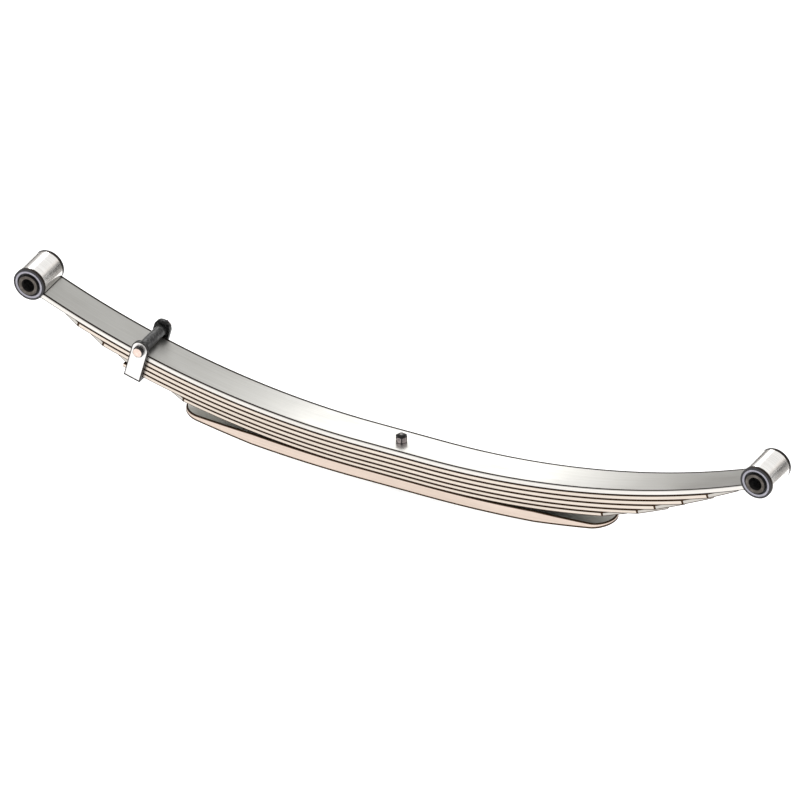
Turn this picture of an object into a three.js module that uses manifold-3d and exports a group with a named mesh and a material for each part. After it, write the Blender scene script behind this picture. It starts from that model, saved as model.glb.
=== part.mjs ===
// A truck rear leaf spring: six thin leaves and a thick overload leaf, held by a centre bolt, with in-line
// rolled eyes, flanged bushings and one bolt-type rebound clip on the front half.
// Millimetres. X runs along the spring (front end at -X), Y across it and Z up. The origin is where the
// centre bolt's axis crosses the underside of the overload leaf, which is the axle seat.
import * as THREE from "three";
import { mergeVertices } from "three/addons/utils/BufferGeometryUtils.js";
import Module from "manifold-3d";

const wasm = await Module();
wasm.setup();

// ---- driving dimensions ----
const WIDTH = 63.5; // of every leaf
const GAP = 0.3; // between touching pieces
const MAIN_THICKNESS = 8.05;
const OVERLOAD_THICKNESS = 20.4; // at its seat
const FLAT_HALF = 60; // half length of the flat seat at the centre of every leaf
const MAIN_TOP_RADIUS = 1460; // of the main leaf's upper surface
const EYE_SPACING = 1287; // between the eye centres
const EYE_BORE = 38.1;
const EYE_LIFT = 1.8; // eye centre above the line of the main leaf's upper surface
const NECK_RADIUS = 12; // of the reverse bend under each eye, at mid thickness
const ROLL_END = 4; // degrees that the roll runs on past the leaf's own line
const EDGE = 0.8; // chamfer along every leaf's long edges
const ARC_STEP = 1; // degrees of bend between the cross-sections of a leaf

// Thin leaves below the main one: where the side trim starts and where the tip is, from the centre.
const THIN_LEAVES = [
  { name: "second_leaf", thickness: 8.05, trim: 557, tip: 602 },
  { name: "third_leaf", thickness: 8.05, trim: 513, tip: 558 },
  { name: "fourth_leaf", thickness: 8.05, trim: 464, tip: 509 },
  { name: "fifth_leaf", thickness: 7.3, trim: 433, tip: 478 },
  { name: "sixth_leaf", thickness: 7.3, trim: 371, tip: 416 },
];
const CLIP_LEAF = "fifth_leaf"; // carries the clip's rivet, so its front end is left square
const TIP_WIDTH = 31;

const OVERLOAD_RADIUS = 2200; // at mid thickness
const OVERLOAD_TIP = 379;
const OVERLOAD_TAPER_FROM = 250;
const OVERLOAD_TIP_THICKNESS = 6.6;

const BOLT = { radius: 5.56, hole: 5.95, headFlats: 15.9, nutFlats: 17.46, nut: 9.5 }; // 7/16 inch
const CENTRE_HEAD = { radius: 8.7, height: 9.5 };
const CENTRE_PROUD = 3; // of bolt above the centre nut
const TURNED_FACE = 0.94; // of a hexagon's width across flats, left flat inside its turned corners

const FLANGE = { radius: 27, thickness: 1.6, bead: 23.6 };
const GROOVE = { radius: 19, depth: 2.6 };
const SLEEVE = { radius: 16.5, bore: 11.2, proud: 2.5 };

const CLIP_X = -443.7;
const CLIP_LIFT = 9.8; // bolt axis above the main leaf's upper surface
const CLIP = { width: 28.6, thickness: 6.35, bend: 2, side: 1.6, earLift: 2 };
const CLIP_TUBE = 9.5; // outer radius
const CLIP_HEAD = 6.5; // height of the clip bolt's head
const CLIP_PROUD = 2.6; // of bolt past the clip nut
const RIVET = { radius: 3.1, head: 6, height: 3, sink: 5.4, sinkDepth: 2.6 };

// ---- worked out from those ----
const sum = (list) => list.reduce((total, value) => total + value, 0);
const pitchOf = (thickness) => thickness + GAP;
const THIN_STACK = sum(THIN_LEAVES.map((leaf) => pitchOf(leaf.thickness)));
const MAIN_TOP = OVERLOAD_THICKNESS + THIN_STACK + pitchOf(MAIN_THICKNESS);
const EYE_MID = (EYE_BORE + MAIN_THICKNESS) / 2; // radius of the roll at mid thickness
const HALF_WIDTH = WIDTH / 2;
const deg = THREE.MathUtils.degToRad;

// ---- materials ----
const steel = (color, roughness = 0.42) =>
  new THREE.MeshStandardMaterial({ color, roughness, metalness: 0.9 });
const leafSteel = steel(0xd9d8d2, 0.38);
const overloadSteel = steel(0xb9b8b2, 0.45);
const strapSteel = steel(0xe6e4de, 0.4);
const boltSteel = steel(0x8f8a86, 0.35);
const nutSteel = steel(0x55524f, 0.35);
const tubeSteel = steel(0x5a5a5a, 0.5);
const sleeveSteel = steel(0x86807a, 0.45);
const rubber = new THREE.MeshStandardMaterial({ color: 0x3a3940, roughness: 0.75, metalness: 0 });

// ---- solids ----
// A closed geometry as a solid that can be joined or cut.
function solid(geometry) {
  const bare = geometry.clone();
  bare.deleteAttribute("normal");
  bare.deleteAttribute("uv");
  const merged = mergeVertices(bare, 1e-4);
  return new wasm.Manifold(
    new wasm.Mesh({
      numProp: 3,
      vertProperties: Float32Array.from(merged.attributes.position.array),
      triVerts: Uint32Array.from(merged.index.array),
    }),
  );
}

// A solid as a geometry for a mesh.
function geometryOf(body) {
  const mesh = body.getMesh();
  const position = new Float32Array(mesh.numVert * 3);
  for (let i = 0; i < mesh.numVert; i++) {
    const from = i * mesh.numProp;
    position.set(mesh.vertProperties.subarray(from, from + 3), i * 3);
  }
  const geometry = new THREE.BufferGeometry();
  geometry.setAttribute("position", new THREE.BufferAttribute(position, 3));
  geometry.setIndex(new THREE.BufferAttribute(mesh.triVerts, 1));
  return geometry.toNonIndexed();
}

const group = new THREE.Group();

function add(name, body, material, parent = group) {
  const geometry = geometryOf(body);
  geometry.computeVertexNormals();
  const mesh = new THREE.Mesh(geometry, material);
  mesh.name = name;
  parent.add(mesh);
  return mesh;
}

// An outline in X and Z, extruded across Y and centred on it, with chamfered edges.
function extrudeAcross(shape, width, chamfer = 0, curveSegments = 24) {
  const geometry = new THREE.ExtrudeGeometry(shape, {
    depth: width - 2 * chamfer,
    bevelEnabled: chamfer > 0,
    bevelThickness: chamfer,
    bevelSize: chamfer,
    bevelOffset: -chamfer,
    bevelSegments: 1,
    curveSegments,
  });
  return geometry.translate(0, 0, chamfer - width / 2).rotateX(Math.PI / 2);
}

// An outline in X and Y, extruded up from one height to another.
function extrudeUp(shape, from, to, curveSegments = 16) {
  const geometry = new THREE.ExtrudeGeometry(shape, {
    depth: to - from,
    bevelEnabled: false,
    curveSegments,
  });
  return geometry.translate(0, 0, from);
}

// A closed profile of [radius, height] points turned about Y.
function turned(points, segments = 36) {
  const closed = [...points, points[0]].map(([r, y]) => new THREE.Vector2(r, y));
  return new THREE.LatheGeometry(closed, segments);
}

const cylinder = (radius, height, segments = 32) =>
  new THREE.CylinderGeometry(radius, radius, height, segments);

// A hexagonal prism about Y from y = 0 to its height, with its corners turned off at the given ends.
function hexagon(acrossFlats, height, chamferLow, chamferHigh) {
  const corner = acrossFlats / Math.sqrt(3);
  const prism = new THREE.CylinderGeometry(corner, corner, height, 6).translate(0, height / 2, 0);
  const face = (TURNED_FACE * acrossFlats) / 2;
  const drop = (corner - face) * Math.tan(deg(30));
  const low = chamferLow ? [[face, 0], [corner, drop]] : [[corner, 0]];
  const high = chamferHigh ? [[corner, height - drop], [face, height]] : [[corner, height]];
  const turnedOff = turned([[0, 0], ...low, ...high, [0, height]], 48);
  return solid(prism).intersect(solid(turnedOff));
}

// ---- the line that a leaf's mid thickness follows, from the centre outwards ----
class MidLine {
  constructor(z) {
    this.points = [{ x: 0, z, heading: 0 }];
  }

  get last() {
    return this.points[this.points.length - 1];
  }

  straight(length) {
    const { x, z, heading } = this.last;
    this.points.push({
      x: x + length * Math.cos(heading),
      z: z + length * Math.sin(heading),
      heading,
    });
    return this;
  }

  // A bend of the given radius through an angle, upwards when the angle is positive. Its points are a
  // whole step apart, so those of neighbouring leaves face each other; the last stretch is what is left.
  turn(radius, angle, step) {
    const { x, z, heading } = this.last;
    const side = Math.sign(angle);
    const cx = x - side * radius * Math.sin(heading);
    const cz = z + side * radius * Math.cos(heading);
    const steps = Math.ceil(Math.abs(angle) / deg(step) - 0.3);
    for (let i = 1; i <= steps; i++) {
      const h = heading + (i < steps ? side * i * deg(step) : angle);
      this.points.push({
        x: cx + side * radius * Math.sin(h),
        z: cz - side * radius * Math.cos(h),
        heading: h,
      });
    }
    return this;
  }

  // The outline of both halves of a leaf, with a thickness that may change along the line.
  outline(thickness) {
    const offset = (p, side) => {
      const half = (side * thickness(p)) / 2;
      return new THREE.Vector2(p.x - half * Math.sin(p.heading), p.z + half * Math.cos(p.heading));
    };
    const top = this.points.map((p) => offset(p, 1));
    const bottom = this.points.map((p) => offset(p, -1));
    const mirrored = (list) => list.slice(1).map((v) => new THREE.Vector2(-v.x, v.y));
    return new THREE.Shape([
      ...mirrored(bottom).reverse(),
      ...bottom,
      ...top.reverse(),
      ...mirrored([...top].reverse()),
    ]);
  }
}

// A plan outline: full width up to the trim, then straight sides in to a narrower tip. The front end
// may be left square instead.
function trimmedPlan(trim, tip, squareFront) {
  const past = HALF_WIDTH + 1; // clear of the leaf's sides, where nothing is cut
  const trimmed = [
    [trim, past],
    [trim, HALF_WIDTH],
    [tip, TIP_WIDTH / 2],
  ];
  const square = [[tip, past]];
  const front = squareFront ? square : trimmed;
  const corners = [
    ...trimmed,
    ...[...trimmed].reverse().map(([x, y]) => [x, -y]),
    ...front.map(([x, y]) => [-x, -y]),
    ...[...front].reverse().map(([x, y]) => [-x, y]),
  ];
  return new THREE.Shape(corners.reverse().map(([x, y]) => new THREE.Vector2(x, y)));
}

const centreHole = solid(cylinder(BOLT.hole, 3 * MAIN_TOP, 24).rotateX(Math.PI / 2));

// ---- main leaf ----
const mainMid = MAIN_TOP - MAIN_THICKNESS / 2;
const mainRadius = MAIN_TOP_RADIUS + MAIN_THICKNESS / 2;
const eyeLift = EYE_LIFT + MAIN_THICKNESS / 2;
const neckReach = Math.sqrt((EYE_MID + NECK_RADIUS) ** 2 - (eyeLift + NECK_RADIUS) ** 2);
const neckBend = Math.acos((eyeLift + NECK_RADIUS) / (EYE_MID + NECK_RADIUS));
// The bend whose end puts the eye centre at half the eye spacing.
const neckAngle =
  Math.asin((EYE_SPACING / 2 - FLAT_HALF) / Math.hypot(mainRadius - eyeLift, neckReach)) -
  Math.atan2(neckReach, mainRadius - eyeLift);
const eye = {
  x: EYE_SPACING / 2,
  z:
    mainMid +
    mainRadius * (1 - Math.cos(neckAngle)) +
    neckReach * Math.sin(neckAngle) +
    eyeLift * Math.cos(neckAngle),
};
const rollAngle = Math.PI * 1.5 + neckBend + deg(ROLL_END);

const mainLine = new MidLine(mainMid)
  .straight(FLAT_HALF)
  .turn(mainRadius, neckAngle, ARC_STEP)
  .turn(NECK_RADIUS, -neckBend, 12)
  .turn(EYE_MID, rollAngle, 10);
const mainLeaf = solid(extrudeAcross(mainLine.outline(() => MAIN_THICKNESS), WIDTH, EDGE));
add("main_leaf", mainLeaf.subtract(centreHole), leafSteel);

// ---- clip frame: its origin is the clip bolt's axis and its Z is square to the leaves ----
const clipRadius = MAIN_TOP_RADIUS - CLIP_LIFT;
const clipTilt = Math.asin((-CLIP_X - FLAT_HALF) / clipRadius);
const clip = new THREE.Group();
clip.position.set(CLIP_X, 0, MAIN_TOP + MAIN_TOP_RADIUS - clipRadius * Math.cos(clipTilt));
clip.rotation.y = clipTilt;
clip.updateMatrixWorld(true);
group.add(clip);

// Depth of each thin leaf's upper surface below the main leaf's.
const leafDepth = THIN_LEAVES.map((_, i) =>
  sum([MAIN_THICKNESS, ...THIN_LEAVES.slice(0, i).map((leaf) => leaf.thickness)].map(pitchOf)),
);
const clipLeaf = THIN_LEAVES.findIndex((leaf) => leaf.name === CLIP_LEAF);
const rivetTop = -(CLIP_LIFT + leafDepth[clipLeaf]);
const clipFloor = rivetTop - pitchOf(THIN_LEAVES[clipLeaf].thickness); // the strap's inner floor
const rivetBottom = clipFloor - CLIP.thickness;

// The rivet, or the hole it needs when it is grown by a gap: a sunk head above and a round head below.
function rivetBody(gap) {
  const shank = RIVET.radius + gap;
  const sunk = RIVET.sink + gap;
  const points = [
    [0, rivetTop + gap],
    [sunk, rivetTop + gap],
    [shank, rivetTop - RIVET.sinkDepth],
    [shank, rivetBottom - GAP],
  ];
  if (gap) {
    points.push([shank, rivetBottom - 1], [0, rivetBottom - 1]);
  } else {
    const dome = 5;
    for (let i = 0; i <= dome; i++) {
      const a = (i / dome) * (Math.PI / 2);
      points.push([RIVET.head * Math.cos(a), rivetBottom - GAP - RIVET.height * Math.sin(a)]);
    }
  }
  return solid(turned(points.reverse(), 24).rotateX(Math.PI / 2));
}
const inPlace = (body) => solid(geometryOf(body).applyMatrix4(clip.matrixWorld));

// ---- thin leaves below the main one ----
THIN_LEAVES.forEach(({ name, thickness, trim, tip }, i) => {
  const depth = leafDepth[i] + thickness / 2;
  const radius = MAIN_TOP_RADIUS + depth;
  const line = new MidLine(MAIN_TOP - depth)
    .straight(FLAT_HALF)
    .turn(radius, Math.asin((tip - FLAT_HALF) / radius), ARC_STEP);
  const blank = solid(extrudeAcross(line.outline(() => thickness), WIDTH, EDGE));
  const plan = trimmedPlan(trim, tip + thickness / 2, i === clipLeaf);
  let leaf = blank.intersect(solid(extrudeUp(plan, -MAIN_TOP, 3 * MAIN_TOP)));
  if (i === clipLeaf) leaf = leaf.subtract(inPlace(rivetBody(GAP)));
  add(name, leaf.subtract(centreHole), leafSteel);
});

// ---- overload leaf ----
const overloadAngle = Math.asin((OVERLOAD_TIP - FLAT_HALF) / OVERLOAD_RADIUS);
const taperAngle = Math.asin((OVERLOAD_TAPER_FROM - FLAT_HALF) / OVERLOAD_RADIUS);
const overloadLine = new MidLine(OVERLOAD_THICKNESS / 2)
  .straight(FLAT_HALF)
  .turn(OVERLOAD_RADIUS, taperAngle, ARC_STEP)
  .turn(OVERLOAD_RADIUS, overloadAngle - taperAngle, ARC_STEP);
const overloadThickness = ({ x }) => {
  const along = Math.max(0, (x - OVERLOAD_TAPER_FROM) / (OVERLOAD_TIP - OVERLOAD_TAPER_FROM));
  return OVERLOAD_THICKNESS + (OVERLOAD_TIP_THICKNESS - OVERLOAD_THICKNESS) * along;
};
const roundEnd = OVERLOAD_TIP - HALF_WIDTH;
const overloadPlan = new THREE.Shape();
overloadPlan.absarc(roundEnd, 0, HALF_WIDTH, -Math.PI / 2, Math.PI / 2, false);
overloadPlan.absarc(-roundEnd, 0, HALF_WIDTH, Math.PI / 2, (3 * Math.PI) / 2, false);
const overloadBlank = solid(extrudeAcross(overloadLine.outline(overloadThickness), WIDTH, EDGE));
const overloadCut = solid(extrudeUp(overloadPlan, -MAIN_TOP, 2 * MAIN_TOP));
add("overload_leaf", overloadBlank.intersect(overloadCut).subtract(centreHole), overloadSteel);

// ---- centre bolt and nut ----
const standing = (body) => solid(geometryOf(body).rotateX(Math.PI / 2));
const nutBottom = MAIN_TOP + GAP;
const centreBoltTop = nutBottom + BOLT.nut + CENTRE_PROUD;
add(
  "centre_bolt",
  standing(
    solid(
      turned(
        [
          [0, -GAP - CENTRE_HEAD.height],
          [CENTRE_HEAD.radius - 1, -GAP - CENTRE_HEAD.height],
          [CENTRE_HEAD.radius, -GAP - CENTRE_HEAD.height + 1],
          [CENTRE_HEAD.radius, -GAP],
          [BOLT.radius, -GAP],
          [BOLT.radius, centreBoltTop - 1],
          [BOLT.radius - 1, centreBoltTop],
          [0, centreBoltTop],
        ],
        28,
      ),
    ),
  ),
  boltSteel,
);

// A hexagon nut about Y, bored for the bolt with its gap.
const nutBody = () =>
  hexagon(BOLT.nutFlats, BOLT.nut, true, true).subtract(
    solid(cylinder(BOLT.radius + GAP, 3 * BOLT.nut, 28)),
  );
const centreNut = add("centre_bolt_nut", standing(nutBody()), nutSteel);
centreNut.position.z = nutBottom;
centreNut.rotation.z = deg(30); // two of its flats face the leaf's sides

// ---- eye bushings and inner sleeves ----
// One bush half about Y, from the middle of the eye out to its flange at +Y.
function bushHalf() {
  const flangeFoot = HALF_WIDTH + GAP;
  const face = flangeFoot + FLANGE.thickness;
  const bore = SLEEVE.radius + GAP;
  const body = EYE_BORE / 2 - GAP;
  return solid(
    turned([
      [bore, GAP],
      [body, GAP],
      [body, flangeFoot],
      [FLANGE.radius, flangeFoot],
      [FLANGE.radius, face - 0.6],
      [FLANGE.radius - 0.9, face],
      [FLANGE.bead, face],
      [FLANGE.bead - 0.6, face - 0.4],
      [GROOVE.radius, face - 0.4],
      [GROOVE.radius - 1.0, face - GROOVE.depth],
      [bore, face - GROOVE.depth],
    ], 40),
  );
}
const sleeveEnd = HALF_WIDTH + GAP + FLANGE.thickness + SLEEVE.proud;

for (const [end, side] of [["front", -1], ["rear", 1]]) {
  const place = new THREE.Group();
  place.position.set(side * eye.x, 0, eye.z);
  group.add(place);
  const near = add(`${end}_bushing_near`, bushHalf(), rubber, place);
  near.rotation.z = Math.PI;
  add(`${end}_bushing_far`, bushHalf(), rubber, place);
  const sleeve = turned(
    [
      [SLEEVE.bore + 0.8, -sleeveEnd],
      [SLEEVE.radius, -sleeveEnd],
      [SLEEVE.radius, sleeveEnd],
      [SLEEVE.bore + 0.8, sleeveEnd],
      [SLEEVE.bore, sleeveEnd - 0.8],
      [SLEEVE.bore, 0.8 - sleeveEnd],
    ],
    40,
  );
  add(`${end}_inner_sleeve`, solid(sleeve), sleeveSteel, place);
}

// ---- rebound clip ----
const strapInner = HALF_WIDTH + CLIP.side;
const strapOuter = strapInner + CLIP.thickness;
const strapFoot = clipFloor - CLIP.thickness;

// The strap's U, seen along the leaves, is drawn in Y and Z and runs through the strap's width in X.
function strapBody() {
  const { bend } = CLIP;
  const ear = CLIP.width / 2;
  const top = ear + CLIP.earLift + 1;
  const u = new THREE.Shape();
  u.moveTo(-strapOuter, top);
  u.lineTo(-strapOuter, strapFoot + bend);
  u.absarc(bend - strapOuter, strapFoot + bend, bend, Math.PI, 1.5 * Math.PI, false);
  u.absarc(strapOuter - bend, strapFoot + bend, bend, -Math.PI / 2, 0, false);
  u.lineTo(strapOuter, top);
  u.lineTo(strapInner, top);
  u.lineTo(strapInner, clipFloor);
  u.lineTo(-strapInner, clipFloor);
  u.lineTo(-strapInner, top);
  const bent = new THREE.ExtrudeGeometry(u, {
    depth: CLIP.width,
    bevelEnabled: false,
    curveSegments: 2,
  })
    .translate(0, 0, -CLIP.width / 2)
    .rotateX(Math.PI / 2)
    .rotateZ(Math.PI / 2);
  const side = new THREE.Shape();
  side.moveTo(-ear, strapFoot - 1);
  side.lineTo(ear, strapFoot - 1);
  side.absarc(0, CLIP.earLift, ear, 0, Math.PI, false);
  const hole = new THREE.Path();
  hole.absarc(0, 0, BOLT.hole, 0, 2 * Math.PI, true);
  side.holes.push(hole);
  return solid(bent).intersect(solid(extrudeAcross(side, 2 * strapOuter + 2, 0, 12)));
}
const rivetHole = solid(
  cylinder(RIVET.radius + GAP, 4 * CLIP.thickness, 24)
    .rotateX(Math.PI / 2)
    .translate(0, 0, clipFloor - CLIP.thickness / 2),
);
add("clip_strap", strapBody().subtract(rivetHole), strapSteel, clip);
add("clip_rivet", rivetBody(0), strapSteel, clip);

const clipSeat = strapOuter + GAP; // where the bolt head and the nut bear, on either side
const clipHead = solid(
  geometryOf(hexagon(BOLT.headFlats, CLIP_HEAD, true, false)).translate(0, -clipSeat - CLIP_HEAD, 0),
);
const clipShank = solid(
  turned(
    [
      [0, -clipSeat - 1],
      [BOLT.radius, -clipSeat - 1],
      [BOLT.radius, clipSeat + BOLT.nut + CLIP_PROUD - 1],
      [BOLT.radius - 1, clipSeat + BOLT.nut + CLIP_PROUD],
      [0, clipSeat + BOLT.nut + CLIP_PROUD],
    ],
    28,
  ),
);
add("clip_bolt", clipHead.add(clipShank), boltSteel, clip);
const clipNut = add("clip_nut", nutBody(), nutSteel, clip);
clipNut.position.y = clipSeat;
const tubeEnd = strapInner - GAP;
add(
  "clip_spacer_tube",
  solid(
    turned(
      [
        [BOLT.hole, -tubeEnd],
        [CLIP_TUBE, -tubeEnd],
        [CLIP_TUBE, tubeEnd],
        [BOLT.hole, tubeEnd],
      ],
      32,
    ),
  ),
  tubeSteel,
  clip,
);

export default group;
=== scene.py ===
"""The looks of a truck leaf spring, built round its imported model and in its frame. Sizes are in
millimetres, except where a comment says metres."""

import math

import bmesh
import bpy
from mathutils import Matrix, Vector


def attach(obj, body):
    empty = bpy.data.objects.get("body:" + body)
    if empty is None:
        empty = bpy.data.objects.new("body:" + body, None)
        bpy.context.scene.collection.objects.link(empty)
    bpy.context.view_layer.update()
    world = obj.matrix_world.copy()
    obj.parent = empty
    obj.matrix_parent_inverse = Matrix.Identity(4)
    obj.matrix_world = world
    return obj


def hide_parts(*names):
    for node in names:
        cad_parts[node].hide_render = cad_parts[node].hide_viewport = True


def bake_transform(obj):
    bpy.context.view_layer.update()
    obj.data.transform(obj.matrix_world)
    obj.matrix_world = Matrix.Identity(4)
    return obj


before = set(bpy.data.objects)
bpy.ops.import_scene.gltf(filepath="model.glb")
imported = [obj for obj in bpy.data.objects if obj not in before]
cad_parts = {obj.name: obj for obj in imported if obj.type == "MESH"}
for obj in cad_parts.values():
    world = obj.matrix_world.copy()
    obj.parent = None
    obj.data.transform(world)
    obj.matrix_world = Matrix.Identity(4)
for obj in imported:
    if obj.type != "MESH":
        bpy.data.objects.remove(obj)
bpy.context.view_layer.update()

MM = 0.001  # metres

# ---- sizes in millimetres ----
HALF_WIDTH = 31.75
GAP = 0.3
FLAT_HALF = 60
MAIN_TOP = 69.0
MAIN_TOP_RADIUS = 1460
MAIN_THICKNESS = 8.05
EYE_X = 643.5
EYE_MID = 23.075  # radius of the eye's roll at mid thickness
EYE_LIFT = 5.825  # eye centre above the main leaf's mid thickness
NECK_RADIUS = 12
THIN_LEAVES = [  # name, thickness, start of the trim, tip, square front end
    ("second_leaf", 8.05, 557, 602, False),
    ("third_leaf", 8.05, 513, 558, False),
    ("fourth_leaf", 8.05, 464, 509, False),
    ("fifth_leaf", 7.3, 433, 478, True),
    ("sixth_leaf", 7.3, 371, 416, False),
]
TIP_HALF_WIDTH = 15.5
OVERLOAD_THICKNESS = 20.4
OVERLOAD_RADIUS = 2200
OVERLOAD_TIP = 379
OVERLOAD_TAPER_FROM = 250
OVERLOAD_TIP_THICKNESS = 6.6
STATION_STEP = 12  # longest stretch between two cross-sections of a leaf
HOLE_MARK = 10  # a cross-section just outside the bolt's hole
EDGE_RADIUS = 1.0
EDGE_FADE = 0.35  # over which the painted dark band (painted shade) beside an edge ends
FACE_BAND = 1.5  # of painted dark band (painted shade) on the faces beside each rounded edge
TOP_BAND = 3.4  # the same on top of the main leaf, whose upper corners keep less of that painted shade
SIDE_BAND = 0.4  # the same on the sides
TRIM_LINE = 2  # half length of the painted dark line (painted shade) where a trimmed tip starts
BOLT_RADIUS = 5.56
BOLT_HOLE = 5.95  # radius
THREAD_PITCH = 1.8
THREAD_DEPTH = 0.55
ROUND_HEAD_RADIUS = 8.7
ROUND_HEAD_FOOT = -9.8
HEAD_FLATS = 15.9
HEAD_HEIGHT = 6.5
NUT_FLATS = 17.46
NUT_HEIGHT = 9.5
NUT_PALE_SHARE = 0.86  # share of a nut's side, between its corners, that is painted pale: painted light
COUNTERSINK = 0.7
SLEEVE_BORE, SLEEVE_RADIUS, SLEEVE_HALF = 11.2, 16.5, 36.15
BUSH_BORE, BUSH_RADIUS, FLANGE_RADIUS = 16.8, 18.75, 27
FLANGE_THICKNESS = 1.6
CLIP_X, CLIP_LIFT = -443.7, 9.8  # the clip bolt, and its height above the main leaf's top
CLIP_CLEARANCE = 1.6  # beside the leaves
STRAP_THICKNESS = 6.35
STRAP_HALF, STRAP_LIFT = 14.3, 2  # half width, and the middle of the round ear above the clip bolt
TUBE_RADIUS, TUBE_HALF = 9.5, 33.05

SHARP_ANGLE = math.radians(35)  # faces that meet at more than this are shaded apart
MERGE_DISTANCE = 1e-6  # metres

bpy.context.scene.view_settings.view_transform = "Standard"


# ---- the line that a leaf follows ----
class Line:
    """Mid thickness of a leaf from the centre outwards, as stretches of constant bend."""

    def __init__(self, z):
        self.stretches = []
        self.end = (0.0, z, 0.0)
        self.length = 0.0

    def _add(self, length, bend):
        self.stretches.append((self.length, *self.end, bend))
        self.length += length
        self.end = self.at(self.length)
        return self

    def straight(self, length):
        return self._add(length, 0.0)

    def turn(self, radius, angle):
        return self._add(radius * abs(angle), math.copysign(1 / radius, angle))

    def at(self, s):
        """(x, z, heading) at a distance along the line."""
        start, x, z, heading, bend = next(
            t for t in reversed(self.stretches) if t[0] <= s or t[0] == 0
        )
        run = s - start
        if not bend:
            return x + run * math.cos(heading), z + run * math.sin(heading), heading
        now = heading + bend * run
        return (
            x + (math.sin(now) - math.sin(heading)) / bend,
            z - (math.cos(now) - math.cos(heading)) / bend,
            now,
        )


# ---- meshes ----
def new_object(name, verts, faces, along=None, edge=None, side=None):
    """A mesh object from millimetre points. along is where each point is on the untouched bar, for the
    grain; edge and side say how far it belongs to a rounded edge, with its painted shade, or to a side,
    with its painted light."""
    mesh = bpy.data.meshes.new(name)
    mesh.from_pydata([Vector(v) * MM for v in verts], [], faces)
    points = along if along is not None else verts
    attribute = mesh.attributes.new("along", "FLOAT_VECTOR", "POINT")
    attribute.data.foreach_set("vector", [c * MM for p in points for c in p])
    for label, values in (("edge", edge), ("side", side)):
        attribute = mesh.attributes.new(label, "FLOAT", "POINT")
        if values is not None:
            attribute.data.foreach_set("value", values)
    obj = bpy.data.objects.new(name, mesh)
    bpy.context.scene.collection.objects.link(obj)
    face_outwards(obj)
    return obj


def smooth(obj):
    """Shades the faces smooth, except where they meet at a sharp angle."""
    obj.data.polygons.foreach_set("use_smooth", [True] * len(obj.data.polygons))
    obj.data.set_sharp_from_angle(angle=SHARP_ANGLE)


def face_outwards(obj, merge=False):
    """Turns the faces outwards, after joining the points that lie on each other when merge is set."""
    bm = bmesh.new()
    bm.from_mesh(obj.data)
    if merge:
        bmesh.ops.remove_doubles(bm, verts=bm.verts, dist=MERGE_DISTANCE)
    bmesh.ops.recalc_face_normals(bm, faces=bm.faces)
    bm.to_mesh(obj.data)
    bm.free()
    smooth(obj)


def bolt_hole(obj):
    """Cuts the centre bolt's hole through a leaf."""
    low, high, axis_gap = -20, 120, 0.01
    profile = [(axis_gap, low), (BOLT_HOLE, low), (BOLT_HOLE, high), (axis_gap, high)]
    cutter = new_object("hole", *lathe(profile, 48, axis="Z"))
    modifier = obj.modifiers.new("cut", "BOOLEAN")
    modifier.operation = "DIFFERENCE"
    modifier.solver = "EXACT"
    modifier.object = cutter
    bpy.context.view_layer.update()
    evaluated = obj.evaluated_get(bpy.context.evaluated_depsgraph_get())
    mesh = bpy.data.meshes.new_from_object(evaluated)
    obj.modifiers.clear()
    obj.data = mesh
    bpy.data.objects.remove(cutter)
    smooth(obj)


def weighted(obj):
    """Keeps large flats flat beside rounded edges."""
    modifier = obj.modifiers.new("flats", "WEIGHTED_NORMAL")
    modifier.keep_sharp = True
    modifier.weight = 100


def inset(outline, amount):
    """The outline of half a leaf, moved inwards. Its first point stays on the centre line."""
    n = len(outline)
    normals = []
    for i in range(n):
        s, w = outline[i]
        s2, w2 = outline[i + 1] if i + 1 < n else (s, w - 1)
        length = math.hypot(s2 - s, w2 - w)
        normals.append(((w2 - w) / length, (s - s2) / length))
    out = []
    for i, (s, w) in enumerate(outline):
        a = normals[max(i - 1, 0)]
        b = normals[i]
        share = amount / (1 + a[0] * b[0] + a[1] * b[1])
        out.append((s + (a[0] + b[0]) * share, w + (a[1] + b[1]) * share))
    out[0] = (outline[0][0], out[0][1])
    return out


def edge_profile(side_band, face_band, scaled):
    """Points (inset, depth below the face, edge, side) from a flat face round to the middle of a side.
    scaled says how much of the painted dark band (painted shade) is left on the round itself."""
    band = EDGE_RADIUS + face_band
    points = [(band + EDGE_FADE, 0, 0, 0), (band, 0, 1, 0), (EDGE_RADIUS, 0, 1, 0)]
    steps = 4
    for i in range(1, steps + 1):
        a = math.radians(90 * i / steps)
        points.append((EDGE_RADIUS * (1 - math.sin(a)), EDGE_RADIUS * (1 - math.cos(a)), scaled, i / steps))
    side_end = EDGE_RADIUS + side_band
    points += [(0, side_end, scaled, 1), (0, side_end + EDGE_FADE, 0, 1)]
    return points


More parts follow.
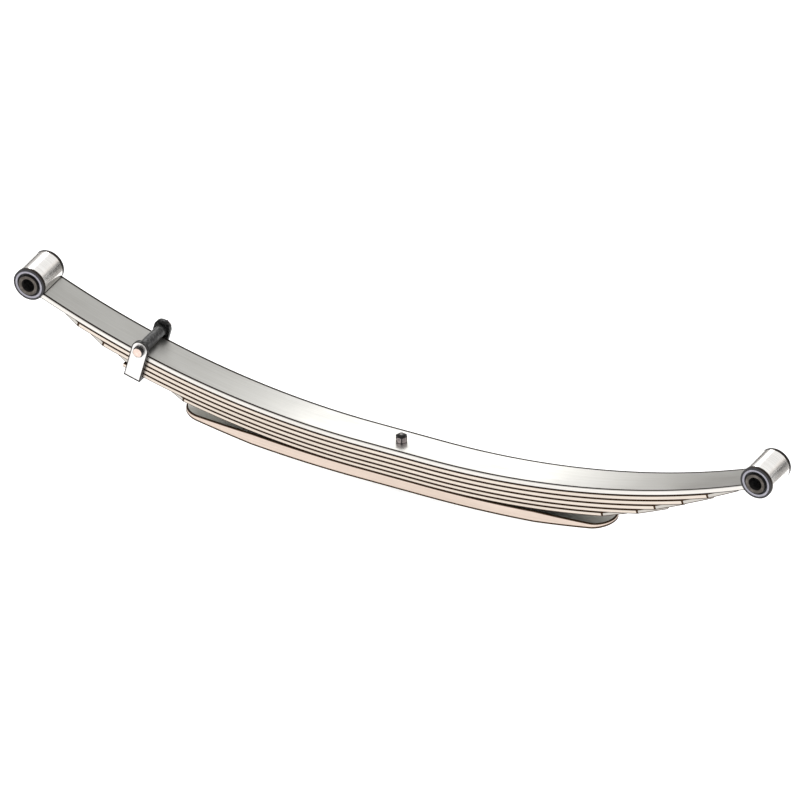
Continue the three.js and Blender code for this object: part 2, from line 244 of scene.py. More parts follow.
def plate(
    line, outline, thickness, half, shift, capped=True, side_bands=(SIDE_BAND, SIDE_BAND),
    face_bands=((FACE_BAND, 1.0), (FACE_BAND, 1.0)), trim_from=math.inf,
):
    """Half a leaf: its plan outline (distance along, half width), wrapped on the line with rounded edges.
    half is 1 for the rear and -1 for the front, and shift moves its grain along the bar. side_bands and
    face_bands, for the upper and the lower edge, give the painted dark bands (painted shade) on the sides and
    faces, each of face_bands with how much of that shade is left on the round. From trim_from on, a tapered
    tip's sides keep only a quarter of the sides' paler colour, which paints them darker (painted shade), with
    a painted dark line where the trim starts. Returns verts, faces, along, edge and side."""
    if outline[-1][1] == HALF_WIDTH:
        trim_from = math.inf
    upper_edge = edge_profile(side_bands[0], *face_bands[0])
    lower_edge = edge_profile(side_bands[1], *face_bands[1])
    rows = [(inwards, depth, 1, edge, side) for inwards, depth, edge, side in upper_edge]
    rows += [(inwards, depth, -1, edge, side) for inwards, depth, edge, side in reversed(lower_edge)]
    verts, along, edges, sides, rings = [], [], [], [], []
    for amount, depth, face, edge, side in rows:
        upper = inset(outline, amount)
        ring = []
        for s, y in upper + [(s, -w) for s, w in reversed(upper)]:
            x, z, heading = line.at(s)
            n = face * (thickness(s) / 2 - depth)
            ring.append(len(verts))
            verts.append((half * (x - n * math.sin(heading)), y, z + n * math.cos(heading)))
            along.append((half * s + shift, y, n + shift / 7))
            # painted shade: a dark line where the trim starts, and darker trimmed sides beyond it
            trimmed = abs(s - trim_from) < TRIM_LINE and side == 1
            edges.append(1 if trimmed else edge)
            sides.append(side if s <= trim_from else side * 0.25)
        rings.append(ring)
    faces = []
    for a, b in zip(rings, rings[1:]):
        faces += [(a[i], a[i + 1], b[i + 1], b[i]) for i in range(len(a) - 1)]
    for ring in (rings[0], rings[-1]):
        last = len(ring) - 1
        faces += [
            (ring[i], ring[i + 1], ring[last - i - 1], ring[last - i])
            for i in range(len(outline) - 1)
        ]
    if capped:
        faces.append([r[0] for r in rings] + [r[-1] for r in reversed(rings)])
    return verts, faces, along, edges, sides


def lathe(profile, segments, centre=(0, 0, 0), axis="Y", mirrored=False):
    """A closed profile of (radius, height) turned about an axis. Returns verts and faces, ring by ring."""
    verts, faces = [], []
    n = len(profile)
    for k in range(segments):
        a = 2 * math.pi * k / segments
        for r, h in profile:
            h = -h if mirrored else h
            u, v = r * math.cos(a), r * math.sin(a)
            p = (u, h, v) if axis == "Y" else (u, v, h)
            verts.append(tuple(c + o for c, o in zip(p, centre)))
    for k in range(segments):
        m = (k + 1) % segments
        faces += [(k * n + i, k * n + (i + 1) % n, m * n + (i + 1) % n, m * n + i) for i in range(n)]
    return verts, faces


def rounded(points):
    """A closed profile of (radius, height, corner radius) with its corners rounded."""
    steps = 4
    out = []
    n = len(points)
    for i, (x, y, r) in enumerate(points):
        if not r:
            out.append((x, y))
            continue
        here = Vector((x, y))
        before = (Vector(points[i - 1][:2]) - here).normalized()
        after = (Vector(points[(i + 1) % n][:2]) - here).normalized()
        half = before.angle(after) / 2
        start, end = here + before * (r / math.tan(half)), here + after * (r / math.tan(half))
        middle = here + (before + after).normalized() * (r / math.sin(half))
        for k in range(steps + 1):
            ray = (start - middle).lerp(end - middle, k / steps).normalized() * r
            out.append(tuple(middle + ray))
    return out


def circle(count):
    """Angles all round, evenly spaced."""
    return [2 * math.pi * k / count for k in range(count)]


def hexagon(across, height, low_turned, bore=0.0):
    """A hexagon about Z with the corners of its top turned off, those of its foot too when low_turned is
    set, and a countersunk bore when one is given."""
    face = across * 0.47  # radius of the flat end
    slope = math.tan(math.radians(30))
    count = 72
    rings = []

    def ring(radius_of, height_of):
        rings.append([(radius_of(a), height_of(radius_of(a)), a) for a in circle(count)])

    def hexed(a):
        return across / 2 / math.cos((a + math.pi / 6) % (math.pi / 3) - math.pi / 6)

    def turned(r):
        return max(0, r - face) * slope

    if bore:
        ring(lambda a: bore, lambda r: COUNTERSINK)
        ring(lambda a: bore + COUNTERSINK, lambda r: 0)
    ring(lambda a: face, lambda r: 0)
    ring(hexed, lambda r: turned(r) if low_turned else 0)
    ring(hexed, lambda r: height - turned(r))
    ring(lambda a: face, lambda r: height)
    if bore:
        ring(lambda a: bore + COUNTERSINK, lambda r: height)
        ring(lambda a: bore, lambda r: height - COUNTERSINK)
    verts = [(r * math.cos(a), r * math.sin(a), z) for points in rings for r, z, a in points]
    faces = []
    for i in range(len(rings) - (0 if bore else 1)):
        a, b = i * count, ((i + 1) % len(rings)) * count
        faces += [(a + k, a + (k + 1) % count, b + (k + 1) % count, b + k) for k in range(count)]
    if not bore:
        faces += [tuple(range(count)), tuple(range((len(rings) - 1) * count, len(rings) * count))]
    return verts, faces


def threaded(radius, start, end, thread_from):
    """A shank about Z from start to end, with a helical thread from thread_from to a chamfered end that has
    a face of its own in the middle."""
    count = 36
    chamfer, chamfer_slope = 0.9, 0.9
    crest_slope = 2.6  # over 2, so the thread has a narrow flat crest
    heights = [start, thread_from - 0.01]
    step = THREAD_PITCH / 6
    heights += [thread_from + i * step for i in range(int((end - thread_from) / step))] + [end]
    verts, faces = [], []
    for z in heights:
        for a in circle(count):
            r = radius
            if z > thread_from:
                phase = (z / THREAD_PITCH - a / (2 * math.pi)) % 1
                r -= THREAD_DEPTH * (1 - min(1, abs(phase - 0.5) * crest_slope))
            r = min(r, radius - chamfer + (end - z) * chamfer_slope)
            verts.append((r * math.cos(a), r * math.sin(a), z))
    for i in range(len(heights) - 1):
        a, b = i * count, (i + 1) * count
        faces += [(a + k, a + (k + 1) % count, b + (k + 1) % count, b + k) for k in range(count)]
    middle = radius * 0.45  # radius of the end's own face
    last = (len(heights) - 1) * count
    verts += [(middle * math.cos(a), middle * math.sin(a), end) for a in circle(count)]
    faces += [
        (last + k, last + (k + 1) % count, last + count + (k + 1) % count, last + count + k)
        for k in range(count)
    ]
    faces += [tuple(range(count)), tuple(range(last + count, last + 2 * count))]
    return verts, faces


def merged(*shells):
    """Several (verts, faces) as one."""
    verts, faces = [], []
    for v, f in shells:
        faces += [tuple(i + len(verts) for i in face) for face in f]
        verts += v
    return verts, faces


def moved(shell, matrix):
    """A (verts, faces) with its points put through a matrix."""
    verts, faces = shell
    return [tuple(matrix @ Vector(v)) for v in verts], faces


# ---- materials ----
class Tree:
    """Builds a material's nodes."""

    def __init__(self, name):
        self.material = bpy.data.materials.new(name)
        self.material.use_nodes = True
        self.nodes = self.material.node_tree.nodes
        self.links = self.material.node_tree.links
        self.shader = self.nodes["Principled BSDF"]

    def put(self, socket, value):
        if isinstance(value, bpy.types.NodeSocket):
            self.links.new(value, socket)
        else:
            socket.default_value = value

    def attribute(self, name, output="Fac"):
        node = self.nodes.new("ShaderNodeAttribute")
        node.attribute_name = name
        return node.outputs[output]

    def parts(self, vector):
        """The X, Y and Z of a vector."""
        node = self.nodes.new("ShaderNodeSeparateXYZ")
        self.links.new(vector, node.inputs[0])
        return node.outputs

    def scaled(self, vector, scale):
        node = self.nodes.new("ShaderNodeVectorMath")
        node.operation = "MULTIPLY"
        self.put(node.inputs[0], vector)
        node.inputs[1].default_value = scale
        return node.outputs[0]

    def noise(self, vector, detail=3.0, roughness=0.55):
        node = self.nodes.new("ShaderNodeTexNoise")
        self.put(node.inputs["Vector"], vector)
        node.inputs["Scale"].default_value = 1.0
        node.inputs["Detail"].default_value = detail
        node.inputs["Roughness"].default_value = roughness
        return node.outputs["Fac"]

    def math(self, kind, a, b=0.0, clamp=False):
        node = self.nodes.new("ShaderNodeMath")
        node.operation = kind
        node.use_clamp = clamp
        self.put(node.inputs[0], a)
        self.put(node.inputs[1], b)
        return node.outputs[0]

    def spread(self, value, low, high, to_low=0.0, to_high=1.0):
        node = self.nodes.new("ShaderNodeMapRange")
        node.interpolation_type = "SMOOTHSTEP"
        self.put(node.inputs["Value"], value)
        limits = {"From Min": low, "From Max": high, "To Min": to_low, "To Max": to_high}
        for label, number in limits.items():
            node.inputs[label].default_value = number
        return node.outputs["Result"]

    def mix(self, share, a, b, kind="MIX"):
        node = self.nodes.new("ShaderNodeMix")
        node.data_type = "RGBA"
        node.blend_type = kind
        self.put(node.inputs["Factor"], share)
        for socket, value in ((node.inputs[6], a), (node.inputs[7], b)):
            self.put(socket, (*value, 1) if isinstance(value, tuple) else value)
        return node.outputs[2]

    def bump(self, height, distance, strength):
        node = self.nodes.new("ShaderNodeBump")
        node.inputs["Distance"].default_value = distance
        node.inputs["Strength"].default_value = strength
        self.put(node.inputs["Height"], height)
        return node.outputs["Normal"]

    def finish(self, **sockets):
        for label, value in sockets.items():
            label = label.replace("_", " ")
            self.put(self.shader.inputs[label], (*value, 1) if isinstance(value, tuple) else value)
        return self.material


# dark colours of the pits and of the painted shade along the rounded edges, between and round the leaves
PIT_AND_EDGE_SHADE_BROWN = (0.055, 0.032, 0.018)
PIT_AND_EDGE_SHADE_BLACK = (0.028, 0.022, 0.018)
STREAKS = (0.868, 0.862, 0.85)  # what the darker streaks of the grain leave of the colour
STEEL_RELIEF = 0.04 * MM


def steel(name, face, side, pit_and_edge_shade_colour, rough=0.34, grain=(5, 420, 420), eye_painted_light=None, outline=None):
    """Bar steel: lengthwise rolling grain, cloudy patches, fine pits, sides painted a paler, warmer colour
    of their own (painted light) and a dark band beside the rounded edges (painted shade). eye_painted_light
    is (distance from the centre, colour) of the rolled eyes, painted paler (painted light). outline is (half
    width, height of the round's centre, foot) of a flat strap in its own frame, with painted shade along its
    rim and its bent foot."""
    t = Tree(name)
    along = t.attribute("along", "Vector")
    lines = t.noise(t.scaled(along, grain), 4)
    clouds = t.noise(t.scaled(along, (9, 26, 26)), 5, 0.6)
    pits = t.noise(t.scaled(along, (700, 900, 900)), 2)
    shade = t.math("ADD", t.math("MULTIPLY", lines, 0.5), t.math("MULTIPLY", clouds, 0.5))
    tone = t.spread(shade, 0.3, 0.7)
    # the rolled eyes painted near white, and smoother: painted light
    if eye_painted_light:
        start, bright = eye_painted_light
        rolled = t.spread(t.math("ABSOLUTE", t.parts(along)["X"]), start * MM, (start + 4) * MM)
        face = t.mix(rolled, face, bright)
        rough = t.math("SUBTRACT", rough, t.math("MULTIPLY", rolled, 0.16))
    # the sides painted a paler, warmer colour than the faces: painted light
    tint = t.mix(t.attribute("side"), face, side)
    dull = t.mix(1.0, tint, STREAKS, "MULTIPLY")
    colour = t.mix(tone, dull, tint)
    # painted shade: a dark band beside the rounded edges, and on a strap along its rim and its bent foot
    edge = t.attribute("edge")
    if outline:
        half, lift, foot = (size * MM for size in outline)
        x, _, z = t.parts(along)
        above = t.math("MAXIMUM", t.math("SUBTRACT", z, lift), 0.0)
        reach = t.math("SQRT", t.math("ADD", t.math("MULTIPLY", x, x), t.math("MULTIPLY", above, above)))
        rim = t.spread(reach, half - 1.8 * MM, half - 1.3 * MM)
        bend = t.spread(z, foot + 3.5 * MM, foot + 4 * MM, 1.0, 0.0)
        edge = t.math("MAXIMUM", rim, bend)
    ragged = t.math("ADD", edge, t.math("MULTIPLY", t.math("SUBTRACT", clouds, 0.5), 0.5))
    painted_edge_shade = t.spread(ragged, 0.35, 0.75)
    spots = t.spread(pits, 0.68, 0.78)
    colour = t.mix(t.math("MULTIPLY", spots, 0.25), colour, pit_and_edge_shade_colour)
    colour = t.mix(painted_edge_shade, colour, pit_and_edge_shade_colour)
    roughness = t.math("ADD", rough, t.math("MULTIPLY", t.math("SUBTRACT", clouds, 0.5), 0.22))
    roughness = t.math("ADD", roughness, t.math("MULTIPLY", painted_edge_shade, 0.2), True)
    height = t.math("SUBTRACT", t.math("MULTIPLY", lines, 0.7), t.math("MULTIPLY", spots, 0.6))
    return t.finish(
        Base_Color=colour, Metallic=1.0, Roughness=roughness, Normal=t.bump(height, STEEL_RELIEF, 0.5),
    )


def dark_steel(name, colour, light, rough=0.4, metal=0.9):
    """Small steel hardware: oiled black or grey finish, worn lighter in patches."""
    t = Tree(name)
    along = t.attribute("along", "Vector")
    patches = t.noise(t.scaled(along, (180, 180, 180)), 5, 0.6)
    fine = t.noise(t.scaled(along, (2200, 2200, 2200)), 2)
    mixed = t.mix(t.spread(patches, 0.42, 0.68), colour, light)
    roughness = t.math("ADD", rough, t.math("MULTIPLY", t.math("SUBTRACT", patches, 0.5), 0.3), True)
    return t.finish(
        Base_Color=mixed, Metallic=metal, Roughness=roughness, Normal=t.bump(fine, 0.03 * MM, 0.5),
    )


def rubber(name, colour, bloom, rough):
    """Moulded rubber: fine matt grain with a pale bloom in patches."""
    t = Tree(name)
    along = t.attribute("along", "Vector")
    patches = t.noise(t.scaled(along, (130, 130, 130)), 4, 0.6)
    fine = t.noise(t.scaled(along, (2600, 2600, 2600)), 3)
    mixed = t.mix(t.spread(patches, 0.45, 0.75), colour, bloom)
    roughness = t.math("ADD", rough, t.math("MULTIPLY", t.math("SUBTRACT", patches, 0.5), 0.25), True)
    return t.finish(Base_Color=mixed, Roughness=roughness, Normal=t.bump(fine, 0.04 * MM, 0.6))


# each steel's second colour is that of its sides: painted light
leaf_steel = steel("leaf_steel", (0.47, 0.465, 0.445), (0.71, 0.63, 0.555), PIT_AND_EDGE_SHADE_BROWN)
overload_steel = steel("overload_steel", (0.72, 0.72, 0.70), (0.74, 0.62, 0.54), PIT_AND_EDGE_SHADE_BROWN, 0.4)
strap_rim = dark_steel("strap_rim", (0.02, 0.02, 0.02), (0.12, 0.12, 0.12), 0.45)
# bolt_face is the pale pink middle of the clip bolt's ends: painted light
bolt_face = dark_steel("bolt_face", (0.72, 0.57, 0.50), (0.82, 0.70, 0.63), 0.4)
bolt_end = dark_steel("bolt_end", (0.14, 0.135, 0.13), (0.26, 0.25, 0.24), 0.45)
# nut_flat is the pale pink middle of a nut's sides: painted light
nut_flat = dark_steel("nut_flat", (0.42, 0.37, 0.37), (0.80, 0.70, 0.70), 0.4)
black_steel = dark_steel("black_steel", (0.012, 0.011, 0.011), (0.04, 0.036, 0.034), 0.5, 0.6)
tube_steel = dark_steel("tube_steel", (0.05, 0.05, 0.05), (0.14, 0.14, 0.14), 0.42)
sleeve_steel = dark_steel("sleeve_steel", (0.085, 0.075, 0.066), (0.17, 0.15, 0.135), 0.5)
# sleeve_bore covers the sleeve's walls, the bore among them, painted darker than its ends: painted shade
sleeve_bore = dark_steel("sleeve_bore", (0.015, 0.014, 0.014), (0.04, 0.036, 0.034), 0.6, 0.5)
bush_rim = rubber("bush_rim", (0.010, 0.009, 0.012), (0.022, 0.021, 0.026), 0.5)
bush_face = rubber("bush_face", (0.34, 0.33, 0.38), (0.46, 0.45, 0.51), 0.55)
bush_groove = rubber("bush_groove", (0.010, 0.010, 0.012), (0.025, 0.025, 0.03), 0.6)


# ---- leaves ----
def leaf_bar(obj, material):
    """Finishes a leaf's mesh: its bolt hole, its one material and its flats."""
    bolt_hole(obj)
    obj.data.materials.clear()
    obj.data.materials.append(material)
    weighted(obj)


def halves(name, line, outline_of, thickness, material, shift, **edges):
    """The front and rear halves of a thin leaf. outline_of gives the outline of a half, and edges goes to
    plate."""
    for half, end, body in ((-1, "front", "front_arm"), (1, "rear", "rear_arm")):
        shell = plate(line, outline_of(half), lambda s: thickness, half, shift, **edges)
        obj = new_object(f"{name}_{end}", *shell)
        leaf_bar(obj, material)
        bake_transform(obj)
        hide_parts(name)


def stations(length, step=STATION_STEP, extra=(HOLE_MARK, FLAT_HALF)):
    """Distances from 0 to length, no further apart than step, with the extra ones among them."""
    marks = sorted({0.0, length, *(e for e in extra if 0 < e < length)})
    out = []
    for a, b in zip(marks, marks[1:]):
        count = max(1, math.ceil((b - a) / step))
        out += [a + (b - a) * i / count for i in range(count)]
    return out + [length]


def along_arc(x, radius):
    """Distance along a leaf to where its mid thickness is x from the centre."""
    return x if x < FLAT_HALF else FLAT_HALF + radius * math.asin((x - FLAT_HALF) / radius)


main_radius = MAIN_TOP_RADIUS + MAIN_THICKNESS / 2
neck_reach = math.sqrt((EYE_MID + NECK_RADIUS) ** 2 - (EYE_LIFT + NECK_RADIUS) ** 2)
neck_bend = math.acos((EYE_LIFT + NECK_RADIUS) / (EYE_MID + NECK_RADIUS))
neck_angle = math.asin(
    (EYE_X - FLAT_HALF) / math.hypot(main_radius - EYE_LIFT, neck_reach)
) - math.atan2(neck_reach, main_radius - EYE_LIFT)
eye_z = (
    MAIN_TOP - MAIN_THICKNESS / 2 + main_radius * (1 - math.cos(neck_angle))
    + neck_reach * math.sin(neck_angle) + EYE_LIFT * math.cos(neck_angle)
)
roll_angle = math.pi * 1.5 + neck_bend + math.radians(4)  # it ends 4 degrees past square to the leaf
main_line = (
    Line(MAIN_TOP - MAIN_THICKNESS / 2).straight(FLAT_HALF).turn(main_radius, neck_angle)
    .turn(NECK_RADIUS, -neck_bend).turn(EYE_MID, roll_angle)
)
arc_end = FLAT_HALF + main_radius * neck_angle
neck_end = arc_end + NECK_RADIUS * neck_bend
main_marks = (
    stations(arc_end)[:-1]
    + [arc_end + mark for mark in stations(neck_end - arc_end, 1.2, ())][:-1]
    + [neck_end + mark for mark in stations(main_line.length - neck_end, 2.0, ())]
)
main_outline = [(s, HALF_WIDTH) for s in main_marks]
# its rolled eyes are painted near white: painted light
main_steel = steel(
    "main_steel", (0.45, 0.445, 0.425), (0.75, 0.725, 0.69), PIT_AND_EDGE_SHADE_BLACK, 0.35,
    eye_painted_light=(neck_end + 4, (0.92, 0.905, 0.885)),
)
halves(
    "main_leaf", main_line, lambda half: main_outline, MAIN_THICKNESS, main_steel, 0,
    face_bands=((TOP_BAND, 0.35), (TOP_BAND, 1.0)),
)


def thin_leaf(name, thickness, trim, tip, square, depth, shift):
    """A leaf whose top lies depth below the main leaf's. Its ends are trimmed narrower from trim to tip,
    except for a square front one."""
    radius = MAIN_TOP_RADIUS + depth + thickness / 2
    trim_s, tip_s = along_arc(trim, radius), along_arc(tip, radius)
    line = Line(MAIN_TOP - depth - thickness / 2).straight(FLAT_HALF)
    line.turn(radius, (tip_s - FLAT_HALF) / radius + 0.01)
    taper = (HALF_WIDTH - TIP_HALF_WIDTH) / (tip_s - trim_s)
    near_trim = [trim_s + 0.6 * TRIM_LINE * i for i in range(-2, 3)]

    def outline_of(half):
        if square and half < 0:
            return [(s, HALF_WIDTH) for s in stations(tip_s)]
        marks = stations(tip_s, extra=(HOLE_MARK, FLAT_HALF, *near_trim))
        return [(s, HALF_WIDTH - taper * max(0, s - trim_s)) for s in marks]

    halves(name, line, outline_of, thickness, leaf_steel, shift, trim_from=trim_s)


depth = MAIN_THICKNESS + GAP
for index, (name, thickness, trim, tip, square) in enumerate(THIN_LEAVES):
    thin_leaf(name, thickness, trim, tip, square, depth, 40 * (index + 1))
    depth += thickness + GAP


def overload_leaf():
    """The thick lowest leaf: full-round ends, thinner from where the taper starts."""
    line = Line(OVERLOAD_THICKNESS / 2).straight(FLAT_HALF).turn(OVERLOAD_RADIUS, 0.2)
    taper_s = along_arc(OVERLOAD_TAPER_FROM, OVERLOAD_RADIUS)
    tip_s = along_arc(OVERLOAD_TIP, OVERLOAD_RADIUS)
    round_from = tip_s - HALF_WIDTH
    outline = [(s, HALF_WIDTH) for s in stations(round_from, extra=(HOLE_MARK, FLAT_HALF, taper_s))]
    outline += [
        (round_from + HALF_WIDTH * math.sin(math.radians(a)), HALF_WIDTH * math.cos(math.radians(a)))
        for a in (*range(5, 90, 5), 88)
    ]

    def thickness(s):
        share = max(0.0, (s - taper_s) / (tip_s - taper_s))
        return OVERLOAD_THICKNESS + (OVERLOAD_TIP_THICKNESS - OVERLOAD_THICKNESS) * share

    verts, faces, along, edge, side = [], [], [], [], []
    for half in (-1, 1):
        # wider painted dark bands on its sides, the widest underneath: painted shade
        v, f, a, e, d = plate(line, outline, thickness, half, 330, capped=False, side_bands=(0.8, 2.2))
        faces += [tuple(i + len(verts) for i in face) for face in f]
        verts, along, edge, side = verts + v, along + a, edge + e, side + d
    obj = new_object("overload_leaf_bar", verts, faces, along, edge, side)
    face_outwards(obj, merge=True)
    leaf_bar(obj, overload_steel)
    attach(obj, "clamped_pack")
    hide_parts("overload_leaf")


overload_leaf()


# ---- small pieces ----
def finished(obj, materials, pick=None, back=Matrix()):
    """Gives obj its materials. pick chooses one for a face from its centre and normal in the frame that
    back leads to."""
    for material in materials:
        obj.data.materials.append(material)
    if pick:
        turn = back.to_3x3()
        for face in obj.data.polygons:
            face.material_index = pick(back @ (face.center / MM), turn @ face.normal)


def piece(name, shell, materials, body, node, pick=None, back=Matrix()):
    """A small piece in place of a CAD node, riding on a body."""
    obj = new_object(name, *shell)
    finished(obj, materials, pick, back)
    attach(obj, body)
    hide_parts(node)


def bolt_part(centre, normal):
    """1 for the middle of a bolt's ends, which gets the paler material (painted light on the clip bolt), 0
    for the rest.
    """
    return int(abs(normal.z) > 0.9 and math.hypot(centre.x, centre.y) < 1)


# centre bolt and nut
nut_base = MAIN_TOP + GAP
bolt_top = nut_base + NUT_HEIGHT + 3
head = lathe(rounded([
    (0.01, ROUND_HEAD_FOOT, 0), (ROUND_HEAD_RADIUS, ROUND_HEAD_FOOT, 1.2),
    (ROUND_HEAD_RADIUS, -GAP, 0.4), (0.01, -GAP, 0),
]), 64, axis="Z")
piece(
    "centre_bolt_and_head", merged(head, threaded(BOLT_RADIUS, -0.5, bolt_top, nut_base - 6)),
    (black_steel, bolt_end), "clamped_pack", "centre_bolt", bolt_part,
)
nut = hexagon(NUT_FLATS, NUT_HEIGHT, True, BOLT_RADIUS + GAP)


def nut_part(centre, normal):
    """1 for the middle of a nut's sides, painted pale (painted light), 0 for its corners, ends and bore."""
    angle = (math.atan2(centre.y, centre.x) + math.pi / 6) % (math.pi / 3)
    from_corner = min(angle, math.pi / 3 - angle) * 6 / math.pi
    outside = math.hypot(centre.x, centre.y) > NUT_FLATS * 0.46
    return int(outside and abs(normal.z) < 0.3 and from_corner > 1 - NUT_PALE_SHARE)


nut_place = Matrix.Translation((0, 0, nut_base)) @ Matrix.Rotation(math.pi / 6, 4, "Z")
piece(
    "centre_nut", moved(nut, nut_place), (black_steel, nut_flat), "clamped_pack", "centre_bolt_nut",
    nut_part, nut_place.inverted(),
)

# eyes
FLANGE_BACK = HALF_WIDTH + GAP
FACE = FLANGE_BACK + FLANGE_THICKNESS  # of the bush's flange
DISH = FACE - 0.5  # the flange's face inside its raised rim
PALE_RING = (20.4, 23.5)  # radii of the pale part of the dish
GROOVE_RADIUS, GROOVE_FLOOR = 19.1, FACE - 2.6  # round the sleeve
bush = rounded([
    (BUSH_BORE, GAP, 0), (BUSH_RADIUS, GAP, 0.3), (BUSH_RADIUS, FLANGE_BACK, 0),
    (FLANGE_RADIUS, FLANGE_BACK, 0.3), (FLANGE_RADIUS, FACE, 0.7), (23.7, FACE, 0.5), (23.2, DISH, 0.2),
    (PALE_RING[0], DISH, 0), (GROOVE_RADIUS, DISH, 0.3), (18.3, GROOVE_FLOOR, 0.3),
    (BUSH_BORE, GROOVE_FLOOR, 0),
])
sleeve = rounded([
    (SLEEVE_BORE, -SLEEVE_HALF, 0.8), (SLEEVE_RADIUS, -SLEEVE_HALF, 0.3),
    (SLEEVE_RADIUS, SLEEVE_HALF, 0.3), (SLEEVE_BORE, SLEEVE_HALF, 0.8),
])


def bush_part(centre, normal):
    """1 for the dish's pale ring, 2 for the groove round the sleeve and the bore, 0 for the rest."""
    r, h = math.hypot(centre.x, centre.z), abs(centre.y)
    if h < DISH - 0.4 and r < GROOVE_RADIUS + 0.2:
        return 2
    return int(PALE_RING[0] < r < PALE_RING[1] and h > DISH - 0.15)


def sleeve_part(centre, normal):
    """0 for the end faces, 1 for the walls, which are painted near black: painted shade in the bore."""
    return int(abs(normal.y) < 0.5)


for end, x in (("front", -EYE_X), ("rear", EYE_X)):
    to_eye = Matrix.Translation((-x, 0, -eye_z))
    for side, mirrored in (("near", True), ("far", False)):
        piece(
            f"{end}_{side}_bush", lathe(bush, 96, (x, 0, eye_z), mirrored=mirrored),
            (bush_rim, bush_face, bush_groove), f"{end}_arm", f"{end}_bushing_{side}",
            bush_part, to_eye,
        )
    piece(
        f"{end}_sleeve_tube", lathe(sleeve, 96, (x, 0, eye_z)), (sleeve_steel, sleeve_bore),
        f"{end}_sleeve", f"{end}_inner_sleeve", sleeve_part, to_eye,
    )

# rebound clip: its frame is the clip bolt's axis, tilted square to the leaves
clip_radius = MAIN_TOP_RADIUS - CLIP_LIFT
clip_tilt = math.asin((-CLIP_X - FLAT_HALF) / clip_radius)
clip = Matrix.Translation(
    (CLIP_X, 0, MAIN_TOP + MAIN_TOP_RADIUS - clip_radius * math.cos(clip_tilt))
) @ Matrix.Rotation(clip_tilt, 4, "Y")
bolt_place = clip @ Matrix.Rotation(-math.pi / 2, 4, "X")  # lays the bolt's +Z along +Y
STRAP_OUTER = HALF_WIDTH + CLIP_CLEARANCE + STRAP_THICKNESS
seat = STRAP_OUTER + GAP

head_place = Matrix.Rotation(math.pi, 4, "X") @ Matrix.Translation((0, 0, seat))
bolt_head = moved(hexagon(HEAD_FLATS, HEAD_HEIGHT, False), head_place)
shank = threaded(BOLT_RADIUS, -seat - 1, seat + NUT_HEIGHT + 2.6, seat - 12)
piece(
    "clip_bolt_and_head", moved(merged(bolt_head, shank), bolt_place), (black_steel, bolt_face), "front_arm",
    "clip_bolt", bolt_part, bolt_place.inverted(),
)
nut_place = bolt_place @ Matrix.Translation((0, 0, seat))
piece(
    "clip_hex_nut", moved(nut, nut_place), (black_steel, nut_flat), "front_arm", "clip_nut",
    nut_part, nut_place.inverted(),
)
tube = rounded([(r, h, 0.4) for r, h in (
    (BOLT_HOLE, -TUBE_HALF), (TUBE_RADIUS, -TUBE_HALF), (TUBE_RADIUS, TUBE_HALF), (BOLT_HOLE, TUBE_HALF),
)])
piece(
    "clip_tube", moved(lathe(tube, 48), clip), (tube_steel,), "front_arm", "clip_spacer_tube",
)


def softened(node, name, width):
    """A copy of a clip node of the CAD with its corners rounded. Its outer cheeks are painted pale (painted
    light) and its other faces near black.
    """
    bm = bmesh.new()
    bm.from_mesh(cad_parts[node].data)
    bmesh.ops.remove_doubles(bm, verts=bm.verts, dist=MERGE_DISTANCE)
    corners = [e for e in bm.edges if len(e.link_faces) == 2 and e.calc_face_angle() > math.radians(32)]
    bmesh.ops.bevel(
        bm, geom=corners, offset=width * MM, offset_type="OFFSET", segments=3, profile=0.5,
        affect="EDGES", clamp_overlap=True,
    )
    verts = [tuple(v.co / MM) for v in bm.verts]
    faces = [tuple(v.index for v in f.verts) for f in bm.faces]
    bm.free()
    back = clip.inverted()
    along = [tuple(back @ Vector(v)) for v in verts]
    # the outer cheeks painted pale: painted light
    pale_cheek = (0.82, 0.81, 0.80)
    cheek = steel(
        f"{node}_cheek", pale_cheek, pale_cheek, PIT_AND_EDGE_SHADE_BLACK, 0.36, (300, 300, 8),
        outline=(STRAP_HALF, STRAP_LIFT, min(z for _, _, z in along)),
    )
    obj = new_object(name, verts, faces, along)
    finished(
        obj, (strap_rim, cheek),
        lambda centre, normal: int(abs(normal.y) > 0.97 and abs(centre.y) > STRAP_OUTER - 0.1), back,
    )
    weighted(obj)
    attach(obj, "front_arm")
    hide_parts(node)


softened("clip_strap", "clip_strap_bent", 0.7)
softened("clip_rivet", "clip_rivet_set", 0.3)


# ---- floor, light and camera, in metres ----
def sheet(name, corners, material):
    """A flat set piece with four corners."""
    mesh = bpy.data.meshes.new(name)
    mesh.from_pydata(corners, [], [(0, 1, 2, 3)])
    mesh.materials.append(material)
    obj = bpy.data.objects.new(name, mesh)
    bpy.context.scene.collection.objects.link(obj)
    return obj


def floor():
    """A wide sheet of pale paper just under the bolt's head. It gives off a little light, so that it stays
    white under the spring."""
    t = Tree("floor_paper")
    coordinates = t.nodes.new("ShaderNodeTexCoord").outputs["Object"]
    fine = t.noise(t.scaled(coordinates, (60, 60, 60)), 3)
    material = t.finish(
        Base_Color=t.mix(fine, (0.90, 0.90, 0.90), (0.93, 0.93, 0.93)), Roughness=0.9,
        Emission_Color=(1.0, 1.0, 1.0), Emission_Strength=0.5,
    )
    half = 90.0
    z = (ROUND_HEAD_FOOT - 0.1) * MM
    corners = [(-half, -half, z), (half, -half, z), (half, half, z), (-half, half, z)]
    sheet("floor", corners, material)


def soft_light():
    """One large lamp behind the spring and above it."""
    data = bpy.data.lights.new("back_softbox", "AREA")
    data.shape = "RECTANGLE"
    data.size = data.size_y = 1.9
    data.energy = 64
    obj = bpy.data.objects.new("back_softbox", data)
    obj.visible_camera = False
    away = Vector((-0.443, 0.747, 0.496)).normalized()
    obj.location = Vector((0, 0, 0.1)) + away * 8
    obj.rotation_mode = "QUATERNION"
    obj.rotation_quaternion = away.to_track_quat("Z", "Y")
    bpy.context.scene.collection.objects.link(obj)


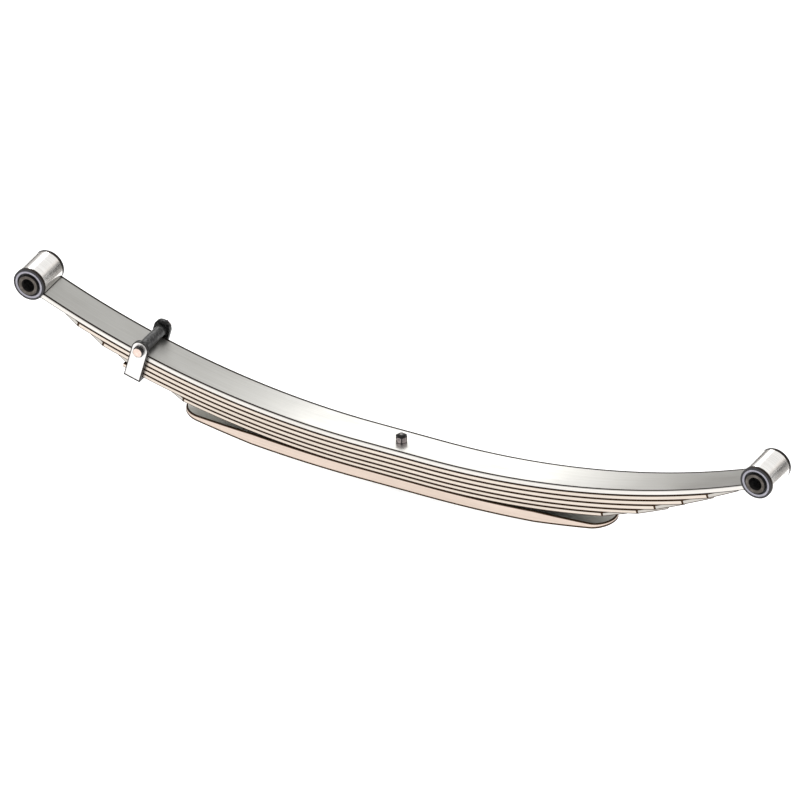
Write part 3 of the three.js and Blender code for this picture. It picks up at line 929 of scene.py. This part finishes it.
def card(name, x, y, width, low, high, shades):
    """A grey card standing behind the spring for its steel to reflect, shaded from its foot to its top. It is
    hidden from the camera and from diffuse light, and casts no shadow."""
    t = Tree(name)
    height = t.parts(t.nodes.new("ShaderNodeTexCoord").outputs["Object"])["Z"]
    foot, top = ((shade, shade * 0.96, shade * 0.93) for shade in shades)
    material = t.finish(Base_Color=t.mix(t.spread(height, low, high), foot, top), Roughness=0.9)
    a, b = x - width / 2, x + width / 2
    obj = sheet(name, [(a, y, low), (b, y, low), (b, y, high), (a, y, high)], material)
    obj.visible_camera = obj.visible_diffuse = obj.visible_shadow = False


def white_world():
    """Even white light from all round."""
    world = bpy.data.worlds.new("studio")
    bpy.context.scene.world = world
    world.use_nodes = True
    background = world.node_tree.nodes["Background"]
    background.inputs["Color"].default_value = (1, 1, 1, 1)
    background.inputs["Strength"].default_value = 1.0


def camera(azimuth, elevation, roll, distance, lens, aside, above):
    """Looks at the middle of the spring from far off through a long lens, so that the view is almost
    parallel. aside and above move the view sideways and up."""
    data = bpy.data.cameras.new("camera")
    data.lens = lens
    data.sensor_width = 36
    data.clip_start, data.clip_end = 1.0, 100.0
    obj = bpy.data.objects.new("camera", data)
    bpy.context.scene.collection.objects.link(obj)
    bpy.context.scene.camera = obj
    right = Vector((math.cos(azimuth), math.sin(azimuth), 0))
    back = Vector((
        math.sin(azimuth) * math.cos(elevation), -math.cos(azimuth) * math.cos(elevation),
        math.sin(elevation),
    ))
    up = back.cross(right)
    obj.location = Vector((0, 0, MAIN_TOP * MM)) + right * aside + up * above + back * distance
    obj.rotation_mode = "QUATERNION"
    obj.rotation_quaternion = Matrix((
        right * math.cos(roll) + up * math.sin(roll), up * math.cos(roll) - right * math.sin(roll), back,
    )).transposed().to_quaternion()


floor()
soft_light()
card("wall_card", x=-3.2, y=4.0, width=3.6, low=0.0, high=1.9, shades=(0.2, 0.55))
for eye, x in (("front", -EYE_X * MM), ("rear", EYE_X * MM)):
    card(f"{eye}_near_card", x=x + 0.26, y=0.3, width=0.14, low=0.0, high=0.26, shades=(0.38, 0.07))
    card(f"{eye}_far_card", x=x + 0.9, y=1.2, width=0.6, low=0.45, high=0.95, shades=(0.15, 0.9))
    card(f"{eye}_left_card", x=x - 0.5, y=0.6, width=0.24, low=0.1, high=0.26, shades=(0.07, 0.07))
white_world()
camera(
    math.radians(28.617), math.radians(31.718), math.radians(-0.729), distance=57.263, lens=1650,
    aside=-0.001525, above=0.063825,
)
